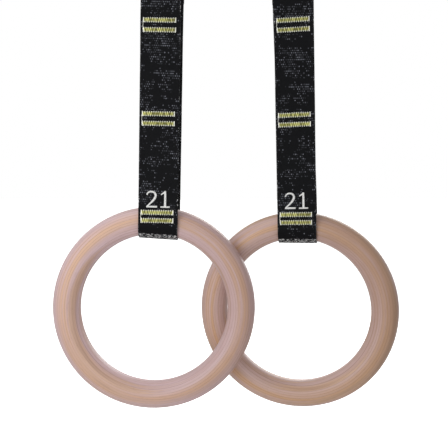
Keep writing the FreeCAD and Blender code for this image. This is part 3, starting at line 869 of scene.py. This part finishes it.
def running_stitch(builder, rng, a, b, y, sign):
    """A line of sewing between two (x, z) points: each stitch dips into the cloth at its ends."""
    a = np.array(a, float)
    b = np.array(b, float)
    length = np.linalg.norm(b - a)
    count = max(1, int(round(length / (RUNNING_STITCH + RUNNING_GAP))))
    pitch = length / count
    way = (b - a) / length
    t = np.linspace(0, 1, 6)
    lift = RUNNING_CROWN * np.sin(math.pi * t) ** 0.5
    for i in range(count):
        start = a + way * (i * pitch + RUNNING_GAP / 2)
        end = a + way * ((i + 1) * pitch - RUNNING_GAP / 2)
        p = start[None, :] + (end - start)[None, :] * t[:, None]
        line = np.stack([p[:, 0], y + sign * (lift - RUNNING_SINK), p[:, 1]], axis=1)
        builder.tube(line, RUNNING_THREAD, (0, sign, 0), tone=np.sin(math.pi * t), pick=rng.random())


def sew_through(builder, rng, a, b, front, back):
    """The same line of sewing on both faces of the doubled webbing."""
    running_stitch(builder, rng, a, b, back, 1)
    running_stitch(builder, rng, a, b, front, -1)


def make_seam(name, strap, material):
    """The sewn box with its cross."""
    builder = Builder()
    rng = strap.rng("seam")
    z0 = strap.seam_z + SEAM_INSET
    z1 = strap.seam_z + SEAM_LENGTH - SEAM_INSET
    x1 = HALF_WIDTH - SEAM_EDGE
    corners = [(-x1, z0), (x1, z0), (x1, z1), (-x1, z1)]
    lines = [(corners[i], corners[(i + 1) % 4]) for i in range(4)]
    lines += [(corners[0], corners[2]), (corners[1], corners[3])]
    for a, b in lines:
        sew_through(builder, rng, a, b, -SURFACE, STRAP_THICK + SURFACE)
    move_last(builder, 0, strap.swing @ strap.at_buckle)
    return builder.make(name, material)


def make_hem(name, strap, material):
    builder = Builder()
    rng = strap.rng("hem")
    x1 = HALF_WIDTH - SEAM_INSET
    for inset in HEM_LINES:
        z = -TAIL_LENGTH + HEM_LENGTH - inset
        sew_through(builder, rng, (-x1, z), (x1, z), 2 * FOLD_MID - SURFACE,
                    2 * FOLD_MID + STRAP_THICK + SURFACE)
    move_last(builder, 0, strap.swing @ strap.at_buckle)
    return builder.make(name, material)


# ---- rings --------------------------------------------------------------------------------------

def make_ring(name, strap, material):
    """The turned wooden ring, in a frame of its own: its plane is XZ."""
    seed = strap.data["seed"]
    points = []
    faces = []
    for i in range(RING_STEPS):
        a = 2 * math.pi * i / RING_STEPS
        ray = Vector((math.sin(a), 0, -math.cos(a)))
        i2 = (i + 1) % RING_STEPS
        for j in range(GRIP_STEPS):
            b = 2 * math.pi * j / GRIP_STEPS
            at = (seed + 2.0 * math.cos(a), 2.0 * math.sin(a), 1.2 * math.cos(b))
            radius = GRIP_RADIUS * (1 + HAND_TURNED * noise.noise(at))
            points.append(ray * (RING_RADIUS + radius * math.cos(b)) + Vector((0, radius * math.sin(b), 0)))
            j2 = (j + 1) % GRIP_STEPS
            faces.append((i * GRIP_STEPS + j, i * GRIP_STEPS + j2, i2 * GRIP_STEPS + j2, i2 * GRIP_STEPS + j))
    builder = Builder()
    builder.add(points, faces)
    return builder.make(name, material, strap.swing @ strap.at_loop @ shift(0, 0, -RING_RADIUS))


# ---- the buckle's spring ------------------------------------------------------------------------

def around_axle(x, radius, degrees):
    a = math.radians(degrees)
    return Vector((x, AXLE_Y + radius * math.cos(a), AXLE_Z + radius * math.sin(a)))


def make_spring(name, strap, material):
    """Torsion spring round the cam's axle: upper leg under the lever, coil, lower leg on the plate.

    Also gives the two points on the axle between which it winds up."""
    turned = 360 * SPRING_TURNS + SPRING_END - SPRING_START
    height = SPRING_PITCH * turned / 360
    middle = around_axle(0, 0, 0)
    up_way = around_axle(0, 1, SPRING_START - 90) - middle
    down_way = around_axle(0, 1, SPRING_END + 90) - middle
    upper = around_axle(SPRING_X, SPRING_COIL, SPRING_START)
    lower = around_axle(SPRING_X + height, SPRING_COIL, SPRING_END)
    reach = (lower.y - PLATE_BACK - SPRING_WIRE - SPRING_GAP) / -down_way.y
    line = [upper + up_way * SPRING_LEG * t for t in np.linspace(1, 0, LEG_STEPS)[:-1]]
    for t in np.linspace(0, 1, SPRING_STEPS):
        line.append(around_axle(SPRING_X + height * t, SPRING_COIL, SPRING_START + turned * t))
    line += [lower + down_way * reach * t for t in np.linspace(0, 1, LEG_STEPS)[1:]]
    builder = Builder()
    builder.tube(line, SPRING_WIRE, (1, 0, 0), sides=12)
    place = strap.swing @ strap.at_buckle
    move_last(builder, 0, place)
    still = place @ Vector((SPRING_X + height - SPRING_WIRE, AXLE_Y, AXLE_Z))
    turning = place @ Vector((SPRING_X + SPRING_WIRE, AXLE_Y, AXLE_Z))
    return builder.make(name, material), tuple(still), tuple(turning)


# ---- assembly -----------------------------------------------------------------------------------

webbing = webbing_material()
# The mark thread's dark olive middle colour is painted shade, on the filling strands and on a share of the
# zigzag stitches.
mark_thread = thread_material("mark_thread", (0.23, 0.225, 0.040), (1.00, 0.98, 0.33), (1.0, 1.0, 0.90))
number_thread = thread_material("number_thread", (0.82, 0.82, 0.80), (1.0, 1.0, 0.98), (0.66, 0.66, 0.66))
# The seam thread is lighter than the black webbing: painted sheen on black thread.
seam_thread = thread_material("seam_thread", (0.022, 0.022, 0.025), (0.060, 0.060, 0.066), (0.03, 0.03, 0.03))
METALS = {
    "buckle_frame": steel_material("buckle_plated", (0.44, 0.45, 0.47), 0.42, 0),
    "cam_lever": steel_material("cam_cast", (0.46, 0.46, 0.47), 0.40, 2, 0.6),
    "anchor_pin": steel_material("pin_turned", (0.62, 0.62, 0.62), 0.18, 0, 0.3),
    "cam_axle": steel_material("axle_turned", (0.62, 0.62, 0.62), 0.18, 0, 0.3),
}
spring_wire = steel_material("spring_wire", (0.36, 0.36, 0.37), 0.25, 1, 0.3)

STRAP_NODES = ("strap_saddle", "front_flex", "back_flex", "front_run", "ring_loop", "back_run",
               "strap_fold", "tail", "anchor_strap")


def build_side(side, data):
    strap = Strap(data)

    def settle(piece, slot_name, *nodes):
        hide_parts(*(side + "_" + node for node in nodes))

    tape = make_webbing(side + "_webbing", strap, webbing)
    settle(tape, "webbing", *STRAP_NODES)
    front = make_marks(side + "_front_mark_stitches", strap, data["front_marks"], True, mark_thread)
    settle(front, "mark_thread", "front_marks")
    back = make_marks(side + "_back_mark_stitches", strap, data["back_marks"], False, mark_thread)
    settle(back, "mark_thread", "back_marks")
    number = make_number(side + "_number_stitches", strap, number_thread)
    settle(number, "number_thread", "number_21")
    seam = make_seam(side + "_box_stitches", strap, seam_thread)
    settle(seam, "seam_thread", "anchor_stitching")
    hem = make_hem(side + "_hem_stitches", strap, seam_thread)
    settle(hem, "seam_thread", "tail_hem_stitching")
    for piece in (tape, front, back, number, seam, hem):
        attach(piece, side + "_strap")

    wood = wood_material(side + "_ring_wood", data["seed"], data["shade"], data["shaded_side"])
    ring = make_ring(side + "_wooden_ring", strap, wood)
    settle(ring, "ring_wood", "ring")
    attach(ring, side + "_ring")

    spring, still, turning = make_spring(side + "_spring_wire", strap, spring_wire)
    settle(spring, "spring_steel", "cam_spring")
    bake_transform(spring)

    for node, metal in METALS.items():
        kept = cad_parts[side + "_" + node]
        kept.data.materials.clear()
        kept.data.materials.append(metal)


for side_name, side_data in SIDES.items():
    build_side(side_name, side_data)


# ---- floor, light -------------------------------------------------------------------------------

def make_floor():
    """Pale and plain, and as bright as the background wherever the camera sees it."""
    g = Graph("floor_white")
    tint = g.noise(g.place(), 3.0, 2.0, 0.5)
    colour = g.mix(tint, (0.80, 0.80, 0.80), (0.84, 0.84, 0.84))
    g.finish(colour, 0.9)
    g.put(g.shader.inputs["Emission Color"], (1, 1, 1, 1))
    g.put(g.shader.inputs["Emission Strength"], g.node("LightPath").outputs["Is Camera Ray"])
    mesh = bpy.data.meshes.new("floor")
    z = cad_box[0].z - FLOOR_DROP
    corners = [(x * FLOOR_HALF, y * FLOOR_HALF, z) for x, y in ((-1, -1), (1, -1), (1, 1), (-1, 1))]
    mesh.from_pydata(corners, [], [(0, 1, 2, 3)])
    mesh.materials.append(g.material)
    floor = bpy.data.objects.new("floor", mesh)
    bpy.context.scene.collection.objects.link(floor)


def area_light(name, place, aim, size, power):
    data = bpy.data.lights.new(name, "AREA")
    data.shape = "SQUARE"
    data.size = size
    data.energy = power
    light = bpy.data.objects.new(name, data)
    bpy.context.scene.collection.objects.link(light)
    light.location = place
    light.visible_camera = False
    light.rotation_euler = (Vector(aim) - Vector(place)).to_track_quat("-Z", "Y").to_euler()


def make_world():
    """White to look at and in reflections, and a softer light on the object."""
    world = bpy.data.worlds.new("studio")
    world.use_nodes = True
    nodes = world.node_tree.nodes
    lit = nodes["Background"]
    lit.inputs["Color"].default_value = (1, 1, 1, 1)
    lit.inputs["Strength"].default_value = WORLD_LIGHT
    seen = nodes.new("ShaderNodeBackground")
    seen.inputs["Color"].default_value = (1, 1, 1, 1)
    path = nodes.new("ShaderNodeLightPath")
    either = nodes.new("ShaderNodeMath")
    either.operation = "MAXIMUM"
    mix = nodes.new("ShaderNodeMixShader")
    for end, socket in (
        (path.outputs["Is Camera Ray"], either.inputs[0]),
        (path.outputs["Is Glossy Ray"], either.inputs[1]),
        (either.outputs[0], mix.inputs[0]),
        (lit.outputs[0], mix.inputs[1]),
        (seen.outputs[0], mix.inputs[2]),
        (mix.outputs[0], nodes["World Output"].inputs[0]),
    ):
        world.node_tree.links.new(end, socket)
    bpy.context.scene.world = world


make_floor()
make_world()
for light_name, (place, aim, size, power) in LIGHTS.items():
    area_light(light_name, place, aim or (cad_box[0] + cad_box[1]) / 2, size, power)
bpy.context.scene.view_settings.view_transform = "Standard"
